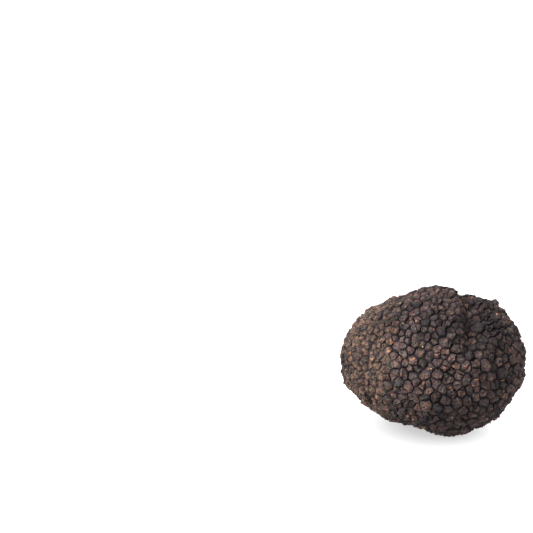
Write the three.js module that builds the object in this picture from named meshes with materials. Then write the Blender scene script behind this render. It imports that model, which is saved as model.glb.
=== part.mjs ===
// A black truffle, brushed clean: one solid lump, longer than it is high, covered all over in blunt
// polygonal warts with narrow grooves between them. It rests on a small flat spot of its own skin.
// Units are millimetres. +X is its long way, -Y is its front and +Z is up. The origin is on the
// ground, under the middle of its box.

import * as THREE from 'three';
import { ConvexHull } from 'three/addons/math/ConvexHull.js';

// The plain egg that the swellings are added to, as half its length, depth and height.
const HALF_LENGTH = 27.0;
const HALF_DEPTH = 22.2;
const HALF_HEIGHT = 21.3;
const REST_FLAT_DEPTH = 0.9; // how much of the egg's underside the rest spot takes off

// Soft round swellings, and dents where the rise is below zero.
const SWELLINGS = [
	bump({ azimuth: 105, elevation: 80, rise: 1.7, spread: 24 }),
	bump({ azimuth: 107, elevation: 35, rise: 1.4, spread: 22 }),
	bump({ azimuth: 49, elevation: 48, rise: -1.2, spread: 11 }),
	bump({ azimuth: -42, elevation: 16, rise: 0.8, spread: 13 }),
	bump({ azimuth: 80, elevation: -19, rise: -0.9, spread: 15 }),
	bump({ azimuth: -95, elevation: 4, rise: 0.5, spread: 30 }),
	bump({ azimuth: -60, elevation: -40, rise: -1.6, spread: 34 }),
	bump({ azimuth: -26, elevation: -64, rise: -2.1, spread: 13 }),
	bump({ azimuth: 36, elevation: -64, rise: 0.7, spread: 16 }),
	bump({ azimuth: 10, elevation: -50, rise: -0.6, spread: 26 }),
	bump({ azimuth: 165, elevation: 8, rise: 0.9, spread: 32 }),
	bump({ azimuth: -150, elevation: 30, rise: -1.1, spread: 26 }),
	bump({ azimuth: 128, elevation: -30, rise: -0.7, spread: 24 }),
];

// A shallow furrow runs from behind the top down the front, between the two main lobes.
const FURROW = new THREE.Line3(towards(137, 61), towards(30, 30));
const FURROW_DEPTH = 2.1;
const FURROW_SPREAD = degrees(7);

// The warts: how wide they are, how high they stand, and how much they differ.
const WART_WIDTH = 3.15;
const WART_WIDTH_CHANGES = [
	bump({ azimuth: 55, elevation: -22, rise: 0.7, spread: 42 }),
	bump({ azimuth: -85, elevation: 5, rise: -0.4, spread: 40 }),
	bump({ azimuth: 100, elevation: 50, rise: -0.3, spread: 30 }),
];
const WART_WIDTH_SPREAD = 0.45; // a wart is up to this share wider or narrower than its neighbours
const WART_TIP_SHARE = 0.25; // how far a tip stands above the plain skin, as a share of the width
const WART_TIP_SPREAD = 0.35; // a tip is up to this share higher or lower than that
const GROOVE_DEPTH = 0.6; // how far the grooves lie below the plain skin
const CROWDING = 0.78; // the least distance between two tips, as a share of their mean width
const MISSES_IN_A_ROW = 2500; // the skin is full once this many new warts in a row find no room
const SETTLING_ROUNDS = 1;
const SETTLING_SHARE = 0.6;
const CORNER_PULL = 0.35; // how far a groove corner is drawn to the middle of its three tips
const GROWTH_SEED = 2095;

const SKIN_COLOUR = 0x2f2925;
const SKIN_ROUGHNESS = 0.85;

// Angles and directions

function degrees( angle ) {

	return THREE.MathUtils.degToRad( angle );

}

// A unit direction from the truffle's middle. Azimuth 0 is the front, 90 is +X and 180 the back.
function towards( azimuth, elevation ) {

	const level = Math.cos( degrees( elevation ) );
	return new THREE.Vector3(
		Math.sin( degrees( azimuth ) ) * level,
		- Math.cos( degrees( azimuth ) ) * level,
		Math.sin( degrees( elevation ) ),
	);

}

// One soft round bump, at a direction in degrees, rising by that much at its middle.
function bump( { azimuth, elevation, rise, spread } ) {

	return { middle: towards( azimuth, elevation ), rise, spread: degrees( spread ) };

}

function fallOff( angle, spread ) {

	return Math.exp( - ( ( angle / spread ) ** 2 ) );

}

function sumOfBumps( bumps, direction ) {

	return bumps.reduce(
		( sum, { middle, rise, spread } ) => sum + rise * fallOff( direction.angleTo( middle ), spread ),
		0,
	);

}

// The plain skin, before its warts

function furrowDepth( direction ) {

	const nearest = FURROW.closestPointToPoint( direction, true, new THREE.Vector3() );
	return FURROW_DEPTH * fallOff( direction.angleTo( nearest ), FURROW_SPREAD );

}

function skinRadius( direction ) {

	const { x, y, z } = direction;
	const egg = 1 / Math.hypot( x / HALF_LENGTH, y / HALF_DEPTH, z / HALF_HEIGHT );
	return egg + sumOfBumps( SWELLINGS, direction ) - furrowDepth( direction );

}

// The point at this height over the plain skin. The ground stops whatever would reach below it.
function skinPoint( direction, height ) {

	const middleHeight = HALF_HEIGHT - REST_FLAT_DEPTH;
	const reach = skinRadius( direction ) + height;
	const groundReach = direction.z < 0 ? middleHeight / - direction.z : Infinity;
	const point = direction.clone().multiplyScalar( Math.min( reach, groundReach ) );
	point.z += middleHeight;
	return point;

}

// The warts' places

const random = ( from, to ) => THREE.MathUtils.lerp( from, to, THREE.MathUtils.seededRandom() );

function randomDirection() {

	const fromPole = Math.acos( random( - 1, 1 ) );
	const round = random( 0, 2 * Math.PI );
	return new THREE.Vector3().setFromSphericalCoords( 1, fromPole, round );

}

function newWart() {

	const direction = randomDirection();
	const usual = WART_WIDTH + sumOfBumps( WART_WIDTH_CHANGES, direction );
	const width = usual * random( 1 - WART_WIDTH_SPREAD, 1 + WART_WIDTH_SPREAD );
	return { direction, width, at: skinPoint( direction, 0 ) };

}

function hasRoom( wart, others ) {

	return others.every( ( other ) => {

		const least = CROWDING * ( wart.width + other.width ) / 2;
		return wart.at.distanceToSquared( other.at ) > least ** 2;

	} );

}

// Warts come up one by one, wherever there is still room, until the skin is full.
function growWarts() {

	THREE.MathUtils.seededRandom( GROWTH_SEED );
	const warts = [];
	for ( let misses = 0; misses < MISSES_IN_A_ROW; misses ++ ) {

		const wart = newWart();
		if ( hasRoom( wart, warts ) ) {

			warts.push( wart );
			misses = 0;

		}

	}

	return warts;

}

// The groove corner of each triangle of neighbouring warts, as a direction.
function cornerDirection( face ) {

	return face.normal.clone().lerp( face.midpoint.clone().normalize(), CORNER_PULL ).normalize();

}

// Each half-edge of the net of neighbours, with the wart at its head and the corners beside it.
function neighbourNet( warts ) {

	const hull = new ConvexHull().setFromPoints( warts.map( ( wart ) => wart.direction ) );
	const wartAt = new Map( warts.map( ( wart ) => [ wart.direction, wart ] ) );
	const cornerOf = new Map( hull.faces.map( ( face ) => [ face, cornerDirection( face ) ] ) );
	const sides = hull.faces.flatMap( ( face ) => [ 0, 1, 2 ].map( ( i ) => {

		const edge = face.getEdge( i );
		const wart = wartAt.get( edge.head().point );
		return { wart, left: cornerOf.get( face ), right: cornerOf.get( edge.twin.face ) };

	} ) );
	return { corners: [ ...cornerOf.values() ], sides };

}

// Every wart moves part of the way to the middle of its own corners, which evens out their sizes.
function settleWarts( warts ) {

	const middles = new Map( warts.map( ( wart ) => [ wart, new THREE.Vector3() ] ) );
	for ( const { wart, left } of neighbourNet( warts ).sides ) {

		middles.get( wart ).add( left );

	}

	for ( const [ wart, middle ] of middles ) {

		wart.direction.lerp( middle.normalize(), SETTLING_SHARE ).normalize();

	}

}

// The truffle

function tipHeight( wart ) {

	return WART_TIP_SHARE * wart.width * random( 1 - WART_TIP_SPREAD, 1 + WART_TIP_SPREAD );

}

// Each wart is a low pyramid: its tip, and a triangle down to every side of its groove outline.
function wartySkinGeometry() {

	const warts = growWarts();
	for ( let round = 0; round < SETTLING_ROUNDS; round ++ ) {

		settleWarts( warts );

	}

	const { corners, sides } = neighbourNet( warts );
	const tips = warts.map( ( wart ) => skinPoint( wart.direction, tipHeight( wart ) ) );
	const grooves = corners.map( ( corner ) => skinPoint( corner, - GROOVE_DEPTH ) );
	const numberOf = new Map( [ ...warts, ...corners ].map( ( item, i ) => [ item, i ] ) );
	const triangles = sides.flatMap( ( { wart, left, right } ) => [ wart, left, right ] );
	const geometry = new THREE.BufferGeometry().setFromPoints( [ ...tips, ...grooves ] );
	geometry.setIndex( triangles.map( ( item ) => numberOf.get( item ) ) );
	return geometry;

}

function centreOnOrigin( geometry ) {

	geometry.computeBoundingBox();
	const middle = geometry.boundingBox.getCenter( new THREE.Vector3() );
	geometry.translate( - middle.x, - middle.y, 0 );

}

function truffle() {

	const geometry = wartySkinGeometry();
	centreOnOrigin( geometry );
	geometry.computeVertexNormals();
	const skin = new THREE.MeshStandardMaterial( { color: SKIN_COLOUR, roughness: SKIN_ROUGHNESS } );
	const mesh = new THREE.Mesh( geometry, skin );
	mesh.name = 'truffle';
	return mesh;

}

const blackTruffle = new THREE.Group();
blackTruffle.add( truffle() );

export default blackTruffle;
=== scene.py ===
"""The looks of a black truffle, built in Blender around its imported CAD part.

The CAD node is a lump covered in low pyramids, one for each wart. A copy of it is worked up here
into the warty skin: every pyramid becomes a blunt, steep-sided wart in its own groove outline.
Lengths are in metres, as in the frame. Names ending in _mm are in millimetres.
"""

import itertools
import logging
import math
import random
from collections import deque
from dataclasses import dataclass, field
from enum import Enum
from typing import Any, Iterable

import bmesh
import bpy
from bmesh.types import BMEdge, BMesh, BMFace, BMVert
from mathutils import Matrix, Vector, noise


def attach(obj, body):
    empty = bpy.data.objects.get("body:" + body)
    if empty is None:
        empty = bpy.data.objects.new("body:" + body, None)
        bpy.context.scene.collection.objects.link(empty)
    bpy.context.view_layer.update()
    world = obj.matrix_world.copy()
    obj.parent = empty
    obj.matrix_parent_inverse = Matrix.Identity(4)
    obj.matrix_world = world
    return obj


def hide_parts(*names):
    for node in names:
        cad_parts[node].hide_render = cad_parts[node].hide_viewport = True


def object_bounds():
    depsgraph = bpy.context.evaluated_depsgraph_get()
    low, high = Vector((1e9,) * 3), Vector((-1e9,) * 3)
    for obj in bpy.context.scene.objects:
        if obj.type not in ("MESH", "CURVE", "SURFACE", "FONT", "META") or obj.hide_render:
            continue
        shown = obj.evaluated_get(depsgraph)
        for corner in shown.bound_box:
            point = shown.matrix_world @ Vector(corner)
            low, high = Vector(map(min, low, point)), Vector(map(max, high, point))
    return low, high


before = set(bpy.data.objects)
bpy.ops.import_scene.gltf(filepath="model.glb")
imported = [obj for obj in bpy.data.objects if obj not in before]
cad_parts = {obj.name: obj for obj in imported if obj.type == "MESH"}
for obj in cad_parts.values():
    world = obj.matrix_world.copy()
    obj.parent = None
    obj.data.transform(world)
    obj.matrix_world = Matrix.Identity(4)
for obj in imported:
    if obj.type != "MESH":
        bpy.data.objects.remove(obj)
CAD_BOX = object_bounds()

LOG = logging.getLogger("truffle")
MM = 0.001
MIDDLE = sum(CAD_BOX, Vector()) / 2


# ---------------------------------------------------------------------------------------------
# Shader maths


class Value:
    """A shader socket that Python's own operators work on, adding Math nodes as they go."""

    def __init__(self, graph: "Graph", socket: bpy.types.NodeSocket) -> None:
        """Wraps one output socket.

        Args:
            graph: The material's graph, which the new nodes go into.
            socket: The output socket.
        """
        self.graph = graph
        self.socket = socket

    def _maths(self, operation: str, *terms: Any) -> "Value":
        """One Math node on these terms."""
        settings = {"operation": operation}
        return self.graph.node("ShaderNodeMath", settings, dict(enumerate(terms)))[0]

    def __add__(self, other: Any) -> "Value":
        """This plus other."""
        return self._maths("ADD", self, other)

    __radd__ = __add__

    def __sub__(self, other: Any) -> "Value":
        """This less other."""
        return self._maths("SUBTRACT", self, other)

    def __rsub__(self, other: Any) -> "Value":
        """Other less this."""
        return self._maths("SUBTRACT", other, self)

    def __mul__(self, other: Any) -> "Value":
        """This times other."""
        return self._maths("MULTIPLY", self, other)

    __rmul__ = __mul__

    def step(self, start: float, end: float) -> "Value":
        """A smooth step, 0 at start and 1 at end.

        Args:
            start: Where the step leaves 0.
            end: Where it reaches 1. It may be below start.

        Returns:
            The stepped value.
        """
        if end < start:
            return 1.0 - self.step(end, start)
        settings = {"interpolation_type": "SMOOTHSTEP"}
        terms = {"Value": self, "From Min": start, "From Max": end}
        return self.graph.node("ShaderNodeMapRange", settings, terms)[0]


class Graph:
    """A material's node graph, built up by short calls."""

    def __init__(self, material: bpy.types.Material) -> None:
        """Empties the material's graph.

        Args:
            material: The material to fill.
        """
        material.use_nodes = True
        self.tree = material.node_tree
        self.tree.nodes.clear()

    def node(self, kind: str, settings: dict[str, Any], terms: dict[Any, Any]) -> list[Value]:
        """Adds any node.

        Args:
            kind: The node's type.
            settings: Its own settings, which are set first.
            terms: The value or link of each input socket, by name or number.

        Returns:
            Its output sockets that are in use, in order.
        """
        added = self.tree.nodes.new(kind)
        for name, setting in settings.items():
            setattr(added, name, setting)
        for key, term in terms.items():
            if isinstance(term, Value):
                self.tree.links.new(term.socket, added.inputs[key])
            else:
                added.inputs[key].default_value = term
        return [Value(self, out) for out in added.outputs if out.enabled]

    def attribute(self, name: str) -> Value:
        """A number that the mesh holds at every vertex."""
        settings = {"attribute_name": name, "attribute_type": "GEOMETRY"}
        return self.node("ShaderNodeAttribute", settings, {})[2]

    def place_mm(self) -> Value:
        """Object coordinates.

        Returns:
            The place on the piece, in millimetres.
        """
        here = self.node("ShaderNodeTexCoord", {}, {})[3]
        scale = (1 / MM,) * 3
        return self.node("ShaderNodeVectorMath", {"operation": "MULTIPLY"}, {0: here, 1: scale})[0]

    def noise(self, place: Value, size_mm: float, detail: float = 2.0, rough: float = 0.5) -> Value:
        """Soft noise.

        Args:
            place: Coordinates in millimetres.
            size_mm: How far apart its patches are.
            detail: How many finer layers it has.
            rough: How strong the finer layers are.

        Returns:
            The noise, about 0 to 1.
        """
        terms = {"Vector": place, "Scale": 1 / size_mm, "Detail": detail, "Roughness": rough}
        return self.node("ShaderNodeTexNoise", {"noise_dimensions": "3D"}, terms)[0]

    def mix(self, share: Any, low: Any, high: Any, blend: str = "MIX") -> Value:
        """Low where share is 0 and high, blended in that way, where it is 1, as colours."""
        settings = {"data_type": "RGBA", "clamp_factor": True, "blend_type": blend}
        return self.node("ShaderNodeMix", settings, {0: share, 6: low, 7: high})[0]

    def finish(self, terms: dict[str, Any]) -> None:
        """Adds the shader, with these values or links in its sockets, and the material's output."""
        shader = self.node("ShaderNodeBsdfPrincipled", {}, terms)[0]
        self.node("ShaderNodeOutputMaterial", {}, {"Surface": shader})


# ---------------------------------------------------------------------------------------------
# The finishes


def tone(red: float, green: float, blue: float) -> tuple[float, float, float, float]:
    """A colour in linear light, with full alpha."""
    return (red, green, blue, 1.0)


class Sum:
    """A weighted sum of the skin's signs."""

    def __init__(self, start: float, **weights: float) -> None:
        """Notes what the sum is made of.

        Args:
            start: What the sum is before any sign is added.
            weights: How much each named sign counts.
        """
        self.start = start
        self.weights = weights

    def over(self, signs: dict[str, Value]) -> Value:
        """The sum of these signs."""
        return sum((weight * signs[name] for name, weight in self.weights.items()), self.start)


@dataclass(frozen=True)
class TruffleSkin:
    """The finish of the warty skin: charcoal warts with near-black grooves and rusty tips. The
    near-black grooves, the dark pits and the darker flanks are partly painted shade.

    Its colour goes by signs, which are numbers that vary over the skin. The mesh holds some of
    them, and the rest come from noises, each given here by its name, its size in millimetres, its
    detail and, if it isn't 0.5, its roughness. Each sum of signs is the share of one colour over
    another. The two numbers of a step are where it starts and where it ends.
    """

    # Near-black in the grooves: painted shade, with the skin's own darker tone there.
    groove: tuple[float, ...] = tone(0.0040, 0.0027, 0.0032)
    # Dark in the pits: painted shade, with their own darker tone.
    pit: tuple[float, ...] = tone(0.0080, 0.0048, 0.0062)
    # Dark on the flanks: painted shade.
    flank_shade: tuple[float, ...] = tone(0.0170, 0.0132, 0.0140)
    slate: tuple[float, ...] = tone(0.0620, 0.0600, 0.0570)
    umber: tuple[float, ...] = tone(0.0760, 0.0450, 0.0330)
    rust: tuple[float, ...] = tone(0.104, 0.045, 0.0265)
    ochre: tuple[float, ...] = tone(0.200, 0.132, 0.078)
    # Pale straw specks on the tops: partly crumbs, partly painted glints.
    straw_crumb_and_glint: tuple[float, ...] = tone(0.440, 0.310, 0.165)

    # These tints multiply what is under them.
    plum: tuple[float, ...] = tone(1.06, 0.845, 1.09)
    olive: tuple[float, ...] = tone(0.965, 1.07, 0.79)
    # dull and bright darken and lighten the skin by its own tone and by painted light and shade.
    dull: tuple[float, ...] = tone(0.43, 0.415, 0.425)
    bright: tuple[float, ...] = tone(1.56, 1.53, 1.48)

    held: tuple[str, ...] = ("rise", "middle", "shade", "rusty", "dust_and_painted_light", "pitted", "paleness")
    noises: tuple[tuple[Any, ...], ...] = (
        ("patches", 3.5, 2.0),
        ("mottle", 2.0, 2.0, 0.6),
        ("hues", 0.8, 3.0, 0.75),
        ("speckle", 0.45, 3.0, 0.7),
        ("flecks", 0.95, 1.0),
        ("spots", 1.2, 1.0),
        ("crumbs_and_glints", 1.0, 0.0),
    )

    # The -X end is browner and paler: partly its earth, partly painted light.
    warmth: Sum = Sum(-1.70, shade=0.4, patches=1.2, mottle=2.6, dust_and_painted_light=0.25)
    warmth_step: tuple[float, float] = (0.12, 0.60)
    hue_step: tuple[float, float] = (0.39, 0.61)
    tint: Sum = Sum(-0.06, hue=1.0, dust_and_painted_light=0.25)
    # Painted light and shade: lit is low on the flanks and high towards the tops.
    lit: Sum = Sum(-1.75, middle=0.25, rise=0.9, speckle=1.9, dust_and_painted_light=0.07)
    lit_step: tuple[float, float] = (0.0, 0.6)
    # Mottled paler speckles at the -X end: earth, with painted light there.
    earth: Sum = Sum(-2.36, speckle=2.6, mottle=2.2)
    # The skin's own tone, with the painted light and shade of the patches added.
    pale: Sum = Sum(-0.50, shade=0.7, patches=1.3, earth=1.0, paleness=1.0)

    fleck_step: tuple[float, float] = (0.58, 0.68)
    fleck_strength: float = 0.42
    tip_step: tuple[float, float] = (0.2, 0.9)
    spot: Sum = Sum(0.0, spots=1.0, rusty=0.22, tip=0.09, dust_and_painted_light=-0.02)
    bare_rise_step: tuple[float, float] = (0.5, 0.9)
    bare_pale_step: tuple[float, float] = (0.0, 0.45)
    rust_step: tuple[float, float] = (0.78, 0.87)
    rust_strength: float = 0.85
    ochre_step: tuple[float, float] = (0.88, 0.96)
    ochre_strength: float = 0.75
    crumb_and_glint_step: tuple[float, float] = (0.83, 0.89)
    crumb_and_glint_strength: float = 0.9
    groove_shade_step: tuple[float, float] = (0.1, 0.6)

    roughness: float = 0.62
    roughness_size_mm: float = 1.2
    roughness_change: float = 0.25
    groove_roughness: float = 0.1
    groove_roughness_step: tuple[float, float] = (0.4, 0.0)
    specular_level: float = 0.12
    grain: tuple[float, ...] = (0.5, 4.0, 0.7)
    grain_height: float = 0.30 * MM
    grain_strength: float = 0.9

    def build(self) -> bpy.types.Material:
        """Makes the material.

        Returns:
            The finished material.
        """
        material = bpy.data.materials.new("truffle_skin")
        graph = Graph(material)
        place = graph.place_mm()
        signs = self._signs(graph, place)
        body = self._body(graph, signs)
        graph.finish(
            {
                "Base Color": self._specked(graph, signs, body),
                "Roughness": self._roughness(graph, place, signs["rise"]),
                "Normal": self._relief(graph, place),
                "Specular IOR Level": self.specular_level,
            }
        )
        return material

    def _signs(self, graph: Graph, place: Value) -> dict[str, Value]:
        """The numbers that the skin's colour goes by.

        Args:
            graph: The material's graph.
            place: Object coordinates in millimetres.

        Returns:
            The signs, by name.
        """
        signs = {name: graph.attribute(name) for name in self.held}
        signs |= {name: graph.noise(place, *sizes) for name, *sizes in self.noises}
        signs["hue"] = signs["hues"].step(*self.hue_step)
        signs["tip"] = signs["middle"].step(*self.tip_step)
        signs["earth"] = signs["dust_and_painted_light"] * self.earth.over(signs)
        signs["pale"] = self.pale.over(signs)
        return signs

    def _body(self, graph: Graph, signs: dict[str, Value]) -> Value:
        """The colour of the warts: their own tone, painted shade on the flanks, painted light
        towards the top and painted light and shade in broad patches.

        Args:
            graph: The material's graph.
            signs: The numbers that the colour goes by.

        Returns:
            The colour.
        """
        warmth = self.warmth.over(signs).step(*self.warmth_step)
        # Painted shade on the flanks and painted light towards the tops.
        lit = self.lit.over(signs).step(*self.lit_step)
        body = graph.mix(lit, self.flank_shade, graph.mix(warmth, self.slate, self.umber))
        tint = graph.mix(self.tint.over(signs), self.plum, self.olive)
        body = graph.mix(1.0, body, tint, "MULTIPLY")
        # Painted light and shade: broad areas made paler or darker, on top of the skin's own tone.
        tone_and_light_tint = graph.mix(signs["pale"], self.dull, self.bright)
        return graph.mix(1.0, body, tone_and_light_tint, "MULTIPLY")

    def _specked(self, graph: Graph, signs: dict[str, Value], body: Value) -> Value:
        """Adds the rusty flecks and spots and the pale crumbs, which are partly painted glints, and
        paints shade that darkens the pits and the grooves.

        Args:
            graph: The material's graph.
            signs: The numbers that the colour goes by.
            body: The colour of the warts themselves.

        Returns:
            The skin's whole colour.
        """
        rise = signs["rise"]
        flecks = signs["flecks"].step(*self.fleck_step) * signs["dust_and_painted_light"]
        spot = self.spot.over(signs)
        bare = rise.step(*self.bare_rise_step) * signs["pale"].step(*self.bare_pale_step)
        crumb_and_glint = signs["crumbs_and_glints"].step(*self.crumb_and_glint_step)
        colour = graph.mix(self.fleck_strength * flecks, body, self.rust)
        rusty = self.rust_strength * spot.step(*self.rust_step) * bare
        colour = graph.mix(rusty, colour, self.rust)
        tan = self.ochre_strength * spot.step(*self.ochre_step) * bare
        colour = graph.mix(tan, colour, self.ochre)
        # Pale straw specks on the tops: partly crumbs, partly painted glints.
        colour = graph.mix(self.crumb_and_glint_strength * crumb_and_glint * bare, colour, self.straw_crumb_and_glint)
        # Painted shade in the pits, on top of their own darker tone.
        colour = graph.mix(signs["pitted"], colour, self.pit)
        # Painted shade: the grooves go near-black, on top of the skin's own darker tone there.
        return graph.mix(rise.step(*self.groove_shade_step), self.groove, colour)

    def _roughness(self, graph: Graph, place: Value, rise: Value) -> Value:
        """How matt the skin is, most of all in the grooves.

        Args:
            graph: The material's graph.
            place: Object coordinates in millimetres.
            rise: 0 in the grooves and 1 on the tops.

        Returns:
            The roughness.
        """
        change = self.roughness_change * graph.noise(place, self.roughness_size_mm)
        groove = self.groove_roughness * rise.step(*self.groove_roughness_step)
        return self.roughness + change + groove

    def _relief(self, graph: Graph, place: Value) -> Value:
        """The fine grain of the skin, as a bent normal.

        Args:
            graph: The material's graph.
            place: Object coordinates in millimetres.

        Returns:
            The normal.
        """
        grain = graph.noise(place, *self.grain)
        terms = {"Height": grain, "Strength": self.grain_strength, "Distance": self.grain_height}
        return graph.node("ShaderNodeBump", {}, terms)[0]


@dataclass(frozen=True)
class PaleFloor:
    """The finish of the floor: plain, matt and nearly white."""

    white: tuple[float, ...] = tone(0.90, 0.90, 0.90)
    roughness: float = 0.9
    specular_level: float = 0.1

    def build(self) -> bpy.types.Material:
        """Makes the material.

        Returns:
            The finished material.
        """
        material = bpy.data.materials.new("pale_floor")
        Graph(material).finish(
            {
                "Base Color": self.white,
                "Roughness": self.roughness,
                "Specular IOR Level": self.specular_level,
            }
        )
        return material


# ---------------------------------------------------------------------------------------------
# Soft patches of the skin


@dataclass(frozen=True)
class Patch:
    """A soft round patch of the skin, with a change that fades out from its middle.

    Its place is a direction from the truffle's middle in degrees: azimuth 0 is the front and 90 is
    +X. Its spread is in degrees too.
    """

    azimuth: float
    elevation: float
    spread: float
    change: float

    def at(self, way: Vector) -> float:
        """How much of the change there is in a direction.

        Args:
            way: The direction, from the truffle's middle.

        Returns:
            The change there.
        """
        azimuth, elevation = math.radians(self.azimuth), math.radians(self.elevation)
        level = math.cos(elevation)
        towards = Vector((math.sin(azimuth), -math.cos(azimuth), 0)) * level
        towards.z = math.sin(elevation)
        share = math.degrees(way.angle(towards)) / self.spread
        return self.change * math.exp(-(share**2))


def total_change(patches: Iterable[Patch], place: Vector) -> float:
    """The changes that these patches make at a place, added up."""
    return sum(patch.at(place - MIDDLE) for patch in patches)


# Where the skin is painted paler, or darker where the change is below zero: partly its own tone,
# partly painted light and shade.
TONE_AND_PAINTED_LIGHT_PATCHES = (
    Patch(-56, 43, 13, -0.64),
    Patch(-6, 58, 21, -0.40),
    Patch(56, 36, 15, -0.80),
    Patch(-18, -14, 12, -0.24),
    Patch(12, -14, 12, -0.30),
    Patch(8, -26, 15, -0.14),
    Patch(87, 54, 13, -0.65),
    Patch(42, 12, 13, -0.32),
    Patch(77, -13, 12, 0.42),
    Patch(-84, -8, 20, -0.74),
    Patch(-33, 21, 13, 0.36),
    Patch(-20, 8, 10, 0.20),
    Patch(16, 25, 12, 0.38),
    Patch(22, 3, 10, 0.36),
    Patch(96, 22, 16, 0.95),
    Patch(-96, 33, 22, 0.56),
    Patch(-66, -28, 14, 0.90),
    Patch(-17, 42, 11, 0.24),
    Patch(60, -12, 9, 0.22),
    Patch(-34, -43, 10, -0.26),
)

# Where the grooves are filled up more, or less where the change is below zero.
FILLINGS = (Patch(80, 33, 32, -0.45),)

# Where the skin swells out, or sinks in, by that many millimetres.
BULGES = (
    Patch(-123, 61, 9, -1.0),
    Patch(-165, 77, 12, 0.5),
    Patch(117, 71, 7, -0.6),
    Patch(-45, -62, 13, -1.3),
    Patch(-81, -14, 9, 0.6),
    Patch(46, 31, 8, -0.7),
    Patch(-51, -55, 7, 1.0),
    Patch(-19, -57, 9, -1.1),
    Patch(51, -48, 4, 0.5),
    Patch(60, -46, 4.5, -0.9),
    Patch(-77, -32, 5, -1.0),
    Patch(109, 39, 7, 0.8),
    Patch(102, 30, 5, -0.7),
    Patch(139, 53, 5, -0.4),
)


# ---------------------------------------------------------------------------------------------
# The truffle


def smooth_step(share: float) -> float:
    """Share held between 0 and 1, and eased at both ends."""
    held = min(max(share, 0.0), 1.0)
    return held * held * (3 - 2 * held)


class Crown(Enum):
    """How high a wart's rings and its middle stand, from the groove in, as shares of its height."""

    BLUNT = (0.45, 0.88, 0.98, 1.0, 1.0, 1.0)
    DOMED = (0.40, 0.74, 0.87, 0.94, 0.98, 1.0)
    POINTED = (0.35, 0.70, 0.85, 0.92, 0.97, 1.0)
    PITTED = (0.42, 0.85, 1.0, 0.98, 0.85, 0.55)


@dataclass
class Wart:
    """One wart while it is being raised: its face, its top and the way it points."""

    face: BMFace
    top: Vector
    out: Vector
    crown: Crown = Crown.BLUNT
    tilt: float = 0.0
    low_side: Vector = field(default_factory=Vector)
    ridges: int = 4
    ridge_turn: float = 0.0
    ridge_depth: float = 0.2
    shade: float = 0.5
    rusty: float = 0.0
    outline: list[Vector] = field(default_factory=list)
    fills: list[float] = field(default_factory=list)

    def note_outline(self, filled: Any) -> None:
        """Notes where the wart's outline lies, before any ring is raised from it.

        Args:
            filled: The mesh layer that holds how far the groove is filled up.
        """
        self.outline = [vert.co.copy() for vert in self.face.verts]
        self.fills = [vert[filled] for vert in self.face.verts]

    def base(self) -> Vector:
        """The middle of the outline."""
        return sum(self.outline, Vector()) / len(self.outline)

    def height(self) -> float:
        """How far the top stands over the middle of the outline."""
        return (self.top - self.base()).dot(self.out)

    def levelled(self, way: Vector) -> Vector:
        """The part of a way that runs level with the skin."""
        return way - self.out * way.dot(self.out)

    def radius(self) -> float:
        """The outline's mean distance from its middle."""
        base = self.base()
        return sum((corner - base).length for corner in self.outline) / len(self.outline)

    def point(self, corner: Vector, share: float, height_share: float) -> Vector:
        """A point on the wart's side.

        Args:
            corner: The outline's point below it.
            share: How far in it lies, from 0 at the outline to 1 under the top.
            height_share: How high it lies, from 0 at the outline to 1 at the top.

        Returns:
            The point.
        """
        across = self.top - corner
        level = self.levelled(across)
        outward = -level.normalized()
        facing = outward.dot(self.low_side)
        turn = math.atan2(outward.dot(self.out.cross(self.low_side)), facing)
        valley = abs(math.sin(self.ridges * turn / 2 + self.ridge_turn)) * self.ridge_depth
        height = across.dot(self.out) * height_share
        height *= (1 - self.tilt * (1 + facing) / 2) * (1 - valley)
        return corner + level * share + self.out * height

    def middle_point(self) -> Vector:
        """The point in the middle of the crown.

        Returns:
            The point, which the wart's tilt lowers by half as much as its low side.
        """
        height = self.height()
        sunk = self.out * height * (1 - self.crown.value[-1])
        return self.top - sunk - self.out * height * self.tilt / 2


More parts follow.
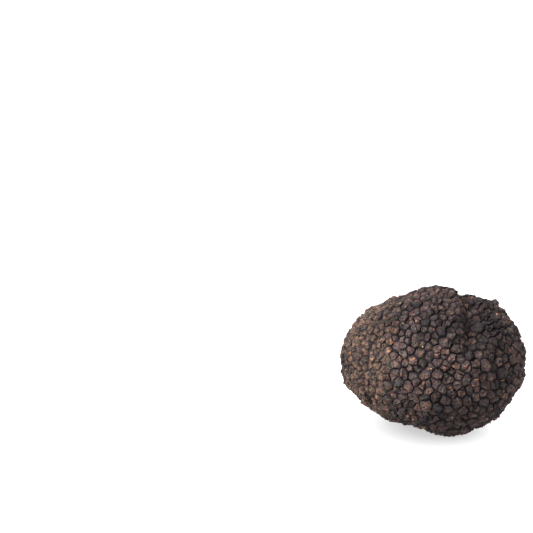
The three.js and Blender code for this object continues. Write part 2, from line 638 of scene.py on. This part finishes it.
@dataclass
class WartySkin:
    """The truffle's whole outside, in one piece."""

    node: str = "truffle"
    seed: int = 41
    merge_distance: float = 1e-3 * MM
    ground_zone: float = 1.0 * MM  # warts with lower tops keep their height and don't crack
    segment: float = 0.66 * MM  # the length that groove edges are divided into
    most_cuts: int = 4

    # How the grooves wander and fill up, as shares of groove_fill
    groove_waver: float = 0.20 * MM
    waver_size: float = 1.6 * MM
    groove_fill: float = 0.65 * MM
    fill_size: float = 5.0 * MM
    fill_least: float = 0.06
    fill_change: float = 1.1
    fill_fine_change: float = 0.35
    fill_paleness: float = 0.95
    join_chance: float = 0.30
    join_heights: tuple[float, float] = (0.55, 1.1)
    corner_join: float = 0.6
    corner_fill: float = 0.12

    # The fine brown earth that clogs the skin towards the -X end, whose browner, paler colour there
    # is partly painted light
    dust_start: float = -9.0 * MM
    dust_fade: float = 7.0 * MM
    dust_patch: float = 4.0 * MM
    dust_patchiness: float = 0.8
    dust_filling: float = 0.35
    dust_tint: float = 0.52
    dust_pits: float = 0.6
    dust_sinking: float = 0.1
    dust_doming: float = 0.5  # warts that are clogged more than this are domed

    # The warts' own shapes
    crown_weights: tuple[float, ...] = (0.30, 0.30, 0.28, 0.12)
    most_tilt: float = 0.35
    ridge_counts: tuple[int, ...] = (2, 3, 3, 4, 5)
    most_ridge_depth: float = 0.35
    top_shift: float = 0.28
    stretches: tuple[float, float] = (-0.45 * MM, 0.28 * MM)

    # The warts that are cracked in two
    crack_chance: float = 0.25
    crack_least_radius: float = 1.45 * MM
    crack_heights: tuple[float, float] = (0.3, 0.7)
    crack_shares: tuple[float, float] = (0.33, 0.5)
    crack_least_gap: int = 3
    crack_least_steps: int = 2
    crack_arch: float = 0.5
    half_heights: tuple[float, float] = (0.85, 1.0)

    # The rings that a wart is raised in
    inset_width: float = 0.01 * MM
    ring_distances: tuple[float, ...] = (0.10 * MM, 0.26 * MM, 0.50 * MM)
    ring_most_share: float = 0.21
    ring_change: float = 0.9
    ring_change_size: float = 2.2 * MM
    corner_rounding: float = -0.6
    crown_shares: tuple[float, ...] = (0.34, 0.68)

    # The roughness of the whole skin
    swell_start: float = 3.0 * MM
    swell_height: float = 0.60 * MM
    swell_size: float = 4.0 * MM
    lump_height: float = 0.38 * MM
    lump_size: float = 1.1 * MM
    crease_depth: float = 0.24 * MM
    crease_size: float = 1.4 * MM
    crease_sharpness: float = 7.0
    crease_shift: tuple[float, float, float] = (7.0, 3.0, 5.0)
    grit_height: float = 0.16 * MM
    grit_size: float = 0.42 * MM
    pit_size: float = 0.85 * MM
    pit_sharpness: float = 4.0
    pit_rarity: float = 0.05
    pit_depth: float = 0.28 * MM
    pits_elsewhere: float = 0.25
    groove_share: float = 0.3  # how much of it reaches into the grooves
    sharp_angle: float = math.radians(28)

    # The charts that the skin is laid out on
    chart_share: float = 0.9
    least_depth: float = 1e-6

    def build(self) -> bpy.types.Object:
        """Builds the skin and dresses it.

        Returns:
            The finished piece, which stands for the CAD node.
        """
        draws = random.Random(self.seed)
        noise.seed_set(self.seed)
        net = self._merged_copy()
        warts = self._open_warts(net)
        self._divide(net)
        self._waver(net, draws)
        self._shape(net, warts, draws)
        warts += self._crack_some(net, warts, draws)
        self._raise(net, warts)
        self._roughen(net)
        self._hold_in_box(net)
        self._sharpen(net)
        self._paint_patch_tone_and_light(net)
        self._unwrap(net)
        mesh = bpy.data.meshes.new("warty_skin")
        net.to_mesh(mesh)
        net.free()
        mesh.materials.append(TruffleSkin().build())
        piece = bpy.data.objects.new("warty_skin", mesh)
        bpy.context.scene.collection.objects.link(piece)
        return piece

    def _merged_copy(self) -> BMesh:
        """Copies the CAD node's mesh and joins up its loose triangles.

        Returns:
            The merged copy.
        """
        net = bmesh.new()
        net.from_mesh(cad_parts[self.node].data)
        bmesh.ops.remove_doubles(net, verts=net.verts, dist=self.merge_distance)
        net.normal_update()
        return net

    def _tips(self, net: BMesh) -> list[BMVert]:
        """The wart tips. Every triangle has one tip, and two corners on a groove.

        Args:
            net: The merged copy of the CAD mesh.

        Returns:
            The tips, in the order of their places.
        """
        start = max(net.verts, key=lambda vert: vert.co.z)
        found = {start}
        waiting = deque([start])
        while waiting:
            tip = waiting.popleft()
            for face in tip.link_faces:
                side = next(edge for edge in face.edges if tip not in edge.verts)
                for beyond in side.link_faces:
                    other = next(vert for vert in beyond.verts if vert not in side.verts)
                    if other not in found:
                        found.add(other)
                        waiting.append(other)
        return sorted(found, key=lambda vert: tuple(vert.co))

    def _open_warts(self, net: BMesh) -> list[Wart]:
        """Takes the tips out, which leaves one many-sided face for each wart.

        Args:
            net: The merged copy of the CAD mesh.

        Returns:
            The warts.
        """
        tips = self._tips(net)
        number = net.faces.layers.int.new("wart")
        tops = []
        for index, tip in enumerate(tips):
            tops.append(tip.co.copy())
            for face in tip.link_faces:
                face[number] = index
        bmesh.ops.dissolve_verts(net, verts=tips)
        net.normal_update()
        faces = sorted(net.faces, key=lambda face: face[number])
        return [Wart(face, tops[face[number]], face.normal.copy()) for face in faces]

    def _divide(self, net: BMesh) -> None:
        """Divides each groove edge into lengths of about one segment.

        Args:
            net: The open net.
        """
        by_cuts: dict[int, list[BMEdge]] = {}
        for edge in net.edges:
            cuts = round(edge.calc_length() / self.segment) - 1
            if cuts > 0:
                by_cuts.setdefault(min(cuts, self.most_cuts), []).append(edge)
        for cuts, group in by_cuts.items():
            bmesh.ops.bisect_edges(net, edges=group, cuts=cuts)

    def _dust_and_painted_light(self, place: Vector) -> float:
        """How thickly fine brown earth clogs the skin here, from 0 to 1, which in the skin's colour
        also stands for painted light at this end.
        """
        patch = noise.noise(place / self.dust_patch) * self.dust_patchiness
        return smooth_step((self.dust_start - place.x) / self.dust_fade + patch)

    def _wander(self, place: Vector) -> Vector:
        """How far a point on a groove is drawn aside."""
        return self.groove_waver * noise.noise_vector(place / self.waver_size)

    def _joins(self, net: BMesh, draws: random.Random) -> dict[tuple[int, ...], float]:
        """Picks the neighbours that have grown together.

        Args:
            net: The open net.
            draws: The source of random draws.

        Returns:
            How far the groove between two warts is filled up, for every pair of neighbours.
        """
        number = net.faces.layers.int["wart"]
        pairs = {tuple(sorted(face[number] for face in edge.link_faces)) for edge in net.edges}
        joins = {}
        for pair in sorted(pairs):
            height = draws.uniform(*self.join_heights)
            joins[pair] = height if draws.random() < self.join_chance else 0.0
        return joins

    def _waver(self, net: BMesh, draws: random.Random) -> None:
        """Makes the grooves wander, and fills them up a little here and there.

        Args:
            net: The open net, which gets the layer of how far its grooves are filled up.
            draws: The source of random draws.
        """
        number = net.faces.layers.int["wart"]
        filled = net.verts.layers.float.new("filled")
        joins = self._joins(net, draws)
        net.normal_update()
        for vert in net.verts:
            if vert.co.z < self.merge_distance:
                continue
            place = vert.co.copy()
            vert.co += self._wander(place)
            fine = self.fill_fine_change * noise.noise(place / self.waver_size)
            patch = noise.noise(place / self.fill_size) + fine
            around = sorted(face[number] for face in vert.link_faces)
            corner = len(around) > 2
            join = max(joins[pair] for pair in itertools.combinations(around, 2))
            join *= self.corner_join if corner else 1.0
            dust = self._dust_and_painted_light(place)
            low = self.fill_least + self.fill_change * patch + self.corner_fill * corner
            share = max(low, self.dust_filling * dust, join)
            share += total_change(FILLINGS, place)
            vert.co += vert.normal * self.groove_fill * share
            vert[filled] = max(share, self.dust_tint * dust)

    def _shape(self, net: BMesh, warts: list[Wart], draws: random.Random) -> None:
        """Gives each wart a crown, a lean and a colour of its own.

        Args:
            net: The open net.
            warts: The warts.
            draws: The source of random draws.
        """
        filled = net.verts.layers.float["filled"]
        for wart in warts:
            wart.note_outline(filled)
            wart.crown = draws.choices(list(Crown), self.crown_weights)[0]
            if self._dust_and_painted_light(wart.top) > self.dust_doming:
                wart.crown = Crown.DOMED
            turn = Matrix.Rotation(draws.uniform(0, math.tau), 3, wart.out)
            wart.low_side = turn @ wart.out.orthogonal().normalized()
            wart.tilt = draws.uniform(0, self.most_tilt)
            wart.ridges = draws.choice(self.ridge_counts)
            wart.ridge_turn = draws.uniform(0, math.pi)
            wart.ridge_depth = draws.uniform(0, self.most_ridge_depth)
            shift = draws.uniform(0, self.top_shift) * wart.radius()
            wart.top -= wart.low_side * shift
            sunk = self.dust_sinking * self._dust_and_painted_light(wart.top)
            wart.top -= wart.out * wart.height() * sunk
            if wart.top.z > self.ground_zone:
                wart.top += wart.out * draws.uniform(*self.stretches)
            wart.shade = draws.random()
            wart.rusty = draws.random()

    def _crack_some(self, net: BMesh, warts: list[Wart], draws: random.Random) -> list[Wart]:
        """Splits some of the wider warts in two by a shallow crack.

        Args:
            net: The open net of warts.
            warts: The warts, whose faces and tops change where they are split.
            draws: The source of random draws.

        Returns:
            The extra warts.
        """
        filled = net.verts.layers.float["filled"]
        extra = []
        for wart in warts:
            if wart.radius() > self.crack_least_radius and wart.top.z > self.ground_zone:
                if draws.random() < self.crack_chance:
                    extra.append(self._crack(wart, filled, draws))
        return extra

    def _crack(self, wart: Wart, filled: Any, draws: random.Random) -> Wart:
        """Splits one wart in two.

        Args:
            wart: The wart, which keeps one half.
            filled: The mesh layer that holds how far the groove is filled up.
            draws: The source of random draws.

        Returns:
            The other half.
        """
        ends = self._crack_ends(wart, draws)
        sill = draws.uniform(*self.crack_heights)
        base, height = wart.base(), wart.height()
        steps = round((ends[0].co - ends[1].co).length / self.segment)
        steps = max(self.crack_least_steps, steps)
        way = []
        for share in (step / steps for step in range(1, steps)):
            point = ends[0].co.lerp(ends[1].co, share)
            point += self._wander(point)
            lift = height * sill * math.sin(math.pi * share) ** self.crack_arch
            way.append(point + wart.out * lift)
        face, _ = bmesh.utils.face_split(wart.face, ends[0], ends[1], coords=way)
        other = Wart(face, wart.top.copy(), wart.out.copy(), wart.crown, wart.tilt, wart.low_side)
        other.shade = draws.random()
        other.rusty = draws.random()
        for half in (wart, other):
            half.note_outline(filled)
            middle = half.base()
            level = middle - wart.out * (middle - base).dot(wart.out)
            half.top = level + wart.out * height * draws.uniform(*self.half_heights)
        return other

    def _crack_ends(self, wart: Wart, draws: random.Random) -> tuple[BMVert, BMVert]:
        """Picks the two corners that a crack runs between, where it is shortest.

        Args:
            wart: The wart.
            draws: The source of random draws.

        Returns:
            The two corners.
        """
        verts = list(wart.face.verts)
        first = min(range(len(verts)), key=lambda i: tuple(verts[i].co))
        verts = verts[first:] + verts[:first]
        gap = round(len(verts) * draws.uniform(*self.crack_shares))
        gap = max(self.crack_least_gap, gap)
        across = zip(verts, verts[gap:])
        return min(across, key=lambda ends: (ends[0].co - ends[1].co).length)

    def _raise(self, net: BMesh, warts: list[Wart]) -> None:
        """Raises every wart in rings, from its groove to its top.

        Args:
            net: The open net, with its grooves in place.
            warts: The warts.
        """
        names = ("rise", "middle", "shade", "rusty")
        layers = {name: net.verts.layers.float.new(name) for name in names}
        filled = net.verts.layers.float["filled"]
        for vert in net.verts:
            vert[layers["rise"]] = self.fill_paleness * vert[filled]
        faces = [wart.face for wart in warts]
        for ring in range(len(self.ring_distances) + len(self.crown_shares)):
            bmesh.ops.inset_individual(
                net, faces=faces, thickness=self.inset_width, use_even_offset=True
            )
            for wart in warts:
                height = wart.crown.value[ring]
                for vert, corner, fill in zip(wart.face.verts, wart.outline, wart.fills):
                    share = self._ring_share(wart, corner, ring)
                    vert.co = wart.point(corner, share, height)
                    rise = height + (1 - height) * self.fill_paleness * fill
                    self._note(vert, layers, wart, rise, share)
        crowns = bmesh.ops.poke(net, faces=faces, center_mode="MEAN")["verts"]
        for crown, wart in zip(crowns, warts):
            crown.co = wart.middle_point()
            self._note(crown, layers, wart, wart.crown.value[-1], 1.0)

    def _note(
        self, vert: BMVert, layers: dict[str, Any], wart: Wart, rise: float, middle: float
    ) -> None:
        """Notes at a vertex where on its wart it lies, and what that wart looks like.

        Args:
            vert: The vertex.
            layers: The mesh layers that hold the notes, by name.
            wart: The wart that the vertex is on.
            rise: How high it lies, from 0 in the groove to 1 at the top.
            middle: How far in it lies, from 0 at the groove to 1 in the middle.
        """
        vert[layers["rise"]] = rise
        vert[layers["middle"]] = middle
        vert[layers["shade"]] = wart.shade
        vert[layers["rusty"]] = wart.rusty

    def _ring_share(self, wart: Wart, corner: Vector, ring: int) -> float:
        """How far in a ring lies below one of the wart's corners.

        Args:
            wart: The wart.
            corner: The corner.
            ring: The ring's number, counted from the groove.

        Returns:
            The share of the way from the corner to the top.
        """
        radius = wart.radius()
        stretch = wart.levelled(wart.top - corner).length / radius
        last = len(self.ring_distances) - 1
        side = min(ring, last)
        share = self.ring_distances[side] / radius * stretch**self.corner_rounding
        share *= 1 + self.ring_change * noise.noise(corner / self.ring_change_size)
        share = min(share, self.ring_most_share * (side + 1))
        if ring > last:
            share += (1 - share) * self.crown_shares[ring - last - 1]
        return share

    def _roughen(self, net: BMesh) -> None:
        """Adds swellings, lumps, creases, pits and grit to the warts, less so in the grooves.

        Args:
            net: The net of raised warts, which gets the layers of its earth, partly painted light,
                and its pits.
        """
        rise = net.verts.layers.float["rise"]
        dust_and_painted_light = net.verts.layers.float.new("dust_and_painted_light")
        pitted = net.verts.layers.float.new("pitted")
        net.normal_update()
        for vert in net.verts:
            if vert.co.z > self.swell_start:
                swell = noise.noise(vert.co / self.swell_size) * self.swell_height
                vert.co += (vert.co - MIDDLE).normalized() * swell
            outward = (vert.co - MIDDLE).normalized()
            vert.co += outward * total_change(BULGES, vert.co) * MM
            vert[dust_and_painted_light] = self._dust_and_painted_light(vert.co)
            pits = max(self.pits_elsewhere, self.dust_pits * vert[dust_and_painted_light])
            vert[pitted] = self._pit(vert.co) * pits
            lump = noise.noise_vector(vert.co / self.lump_size) * self.lump_height
            grit = noise.noise_vector(vert.co / self.grit_size) * self.grit_height
            depth = self._crease(vert.co) + vert[pitted] * self.pit_depth
            reach = self.groove_share + (1 - self.groove_share) * vert[rise]
            vert.co += (lump + grit - vert.normal * depth) * reach

    def _crease(self, place: Vector) -> float:
        """How deep a crease is here."""
        crossing = abs(noise.noise(place / self.crease_size + Vector(self.crease_shift)))
        return max(0.0, 1 - self.crease_sharpness * crossing) * self.crease_depth

    def _pit(self, place: Vector) -> float:
        """How much of a pit there is here, from 0 to 1."""
        return smooth_step(self.pit_sharpness * noise.noise(place / self.pit_size) - self.pit_rarity)

    def _hold_in_box(self, net: BMesh) -> None:
        """Keeps every vertex inside the CAD part's box.

        Args:
            net: The whole skin.
        """
        low, high = CAD_BOX
        for vert in net.verts:
            for axis in range(3):
                vert.co[axis] = min(max(vert.co[axis], low[axis]), high[axis])

    def _sharpen(self, net: BMesh) -> None:
        """Keeps the skin's sharper folds crisp, and smooths the rest.

        Args:
            net: The whole skin.
        """
        for face in net.faces:
            face.smooth = True
        for edge in net.edges:
            edge.smooth = edge.calc_face_angle(0.0) < self.sharp_angle

    def _paint_patch_tone_and_light(self, net: BMesh) -> None:
        """Notes at every vertex how much paler or darker the skin is painted there, by its own tone
        and by painted light and shade.

        Args:
            net: The whole skin, which gets the layer of its painted tone and light.
        """
        paleness = net.verts.layers.float.new("paleness")
        for vert in net.verts:
            vert[paleness] = total_change(TONE_AND_PAINTED_LIGHT_PATCHES, vert.co)

    def _unwrap(self, net: BMesh) -> None:
        """Lays the skin out on six charts, one for each side of a cube round the truffle.

        The charts lie in three columns, one for each axis, and two rows.

        Args:
            net: The whole skin, which gets the map.
        """
        uv = net.loops.layers.uv.new("OFBake")
        for face in net.faces:
            way = face.calc_center_median() - MIDDLE
            axis = max(range(3), key=lambda i: abs(way[i]))
            side = 1 if way[axis] > 0 else -1
            column, row = axis, (side + 1) // 2
            for loop in face.loops:
                spot = loop.vert.co - MIDDLE
                depth = max(side * spot[axis], self.least_depth)
                turns = [math.atan(spot[i] / depth) / (math.pi / 2) for i in range(3) if i != axis]
                across, along = (turn * self.chart_share + 0.5 for turn in turns)
                loop[uv].uv = ((column + across) / 3, (row + along) / 2)


# ---------------------------------------------------------------------------------------------
# The scene round it


@dataclass
class Studio:
    """The pale floor, the soft lights and the camera."""

    picture_px: int = 533
    truffle_px: tuple[float, float] = (432.8, 357.6)
    px_size: float = 0.30 * MM
    lens_mm: float = 110.0
    sensor_mm: float = 36.0
    look_down_degrees: float = 22.0
    clip_start: float = 0.01
    floor_half: float = 1.5
    ambience: float = 1.66
    key_direction: tuple[float, float, float] = (-0.71, -0.40, 0.62)
    key_distance: float = 0.8
    key_size: float = 0.5
    key_watts: float = 25.5
    floor_fill: float = 1.6

    def build(self, piece: bpy.types.Object) -> bpy.types.Object:
        """Sets the stage.

        Args:
            piece: The truffle's skin.

        Returns:
            The floor.
        """
        scene = bpy.context.scene
        scene.view_settings.view_transform = "Standard"
        self._world(scene)
        self._camera(scene)
        self._key(piece)
        floor = self._floor()
        self._floor_fill(floor)
        return floor

    def _floor(self) -> bpy.types.Object:
        """Makes the plain floor.

        Returns:
            The floor.
        """
        plane = bmesh.new()
        bmesh.ops.create_grid(plane, x_segments=1, y_segments=1, size=self.floor_half)
        mesh = bpy.data.meshes.new("floor")
        plane.to_mesh(mesh)
        plane.free()
        mesh.materials.append(PaleFloor().build())
        floor = bpy.data.objects.new("floor", mesh)
        bpy.context.scene.collection.objects.link(floor)
        return floor

    def _world(self, scene: bpy.types.Scene) -> None:
        """Even white light from all round.

        Args:
            scene: The scene that it lights.
        """
        world = bpy.data.worlds.new("studio")
        scene.world = world
        world.use_nodes = True
        background = world.node_tree.nodes["Background"]
        background.inputs["Color"].default_value = tone(1.0, 1.0, 1.0)
        background.inputs["Strength"].default_value = self.ambience

    def _lamp(self, lamp: bpy.types.Light, only: bpy.types.Object) -> bpy.types.Object:
        """Hangs up a lamp that lights one object and nothing else.

        Args:
            lamp: The lamp.
            only: What it lights.

        Returns:
            The object that holds the lamp.
        """
        holder = bpy.data.objects.new(lamp.name, lamp)
        lit = bpy.data.collections.new(f"lit_by_{lamp.name}")
        lit.objects.link(only)
        holder.light_linking.receiver_collection = lit
        bpy.context.scene.collection.objects.link(holder)
        return holder

    def _key(self, piece: bpy.types.Object) -> None:
        """Hangs one large soft light to the left, which lights the truffle and not the floor.

        Args:
            piece: The truffle's skin.
        """
        lamp = bpy.data.lights.new("key", "AREA")
        lamp.size = self.key_size
        lamp.energy = self.key_watts
        holder = self._lamp(lamp, piece)
        away = Vector(self.key_direction).normalized()
        holder.location = MIDDLE + away * self.key_distance
        holder.rotation_mode = "QUATERNION"
        holder.rotation_quaternion = away.to_track_quat("Z", "Y")

    def _floor_fill(self, floor: bpy.types.Object) -> None:
        """Adds a light from overhead that only brightens the floor, which weakens its shadow.

        Args:
            floor: The floor.
        """
        lamp = bpy.data.lights.new("floor_fill", "SUN")
        lamp.energy = self.floor_fill
        lamp.use_shadow = False
        holder = self._lamp(lamp, floor)
        holder.location = MIDDLE + Vector((0, 0, self.key_distance))

    def _camera(self, scene: bpy.types.Scene) -> None:
        """Places the camera so that the truffle lies where it should in the picture.

        Args:
            scene: The scene whose camera it is.
        """
        focal_px = self.lens_mm / self.sensor_mm * self.picture_px
        aside = (self.truffle_px[0] - self.picture_px / 2) / focal_px
        above = (self.picture_px / 2 - self.truffle_px[1]) / focal_px
        down = math.radians(self.look_down_degrees)
        slant = math.sqrt(1 + aside**2 + above**2)
        pitch = math.atan(above) + math.asin(slant * math.sin(down) / math.hypot(1, above))
        yaw = math.atan2(aside, above * math.sin(pitch) + math.cos(pitch))
        lens = bpy.data.cameras.new("camera")
        lens.lens = self.lens_mm
        lens.sensor_width = self.sensor_mm
        lens.clip_start = self.clip_start
        camera = bpy.data.objects.new("camera", lens)
        away = Vector((0, -math.cos(down), math.sin(down)))
        camera.location = MIDDLE + away * focal_px * self.px_size
        camera.rotation_euler = (math.pi / 2 - pitch, 0, yaw)
        scene.collection.objects.link(camera)
        scene.camera = camera


def main() -> None:
    """Builds the truffle and the scene round it."""
    logging.basicConfig(level=logging.INFO)
    piece = WartySkin().build()
    LOG.info("%s: %d faces", piece.name, len(piece.data.polygons))
    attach(piece, "root")
    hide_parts("truffle")
    floor = Studio().build(piece)
    LOG.info("%s and the lights are in place", floor.name)


if __name__ == "__main__":
    main()
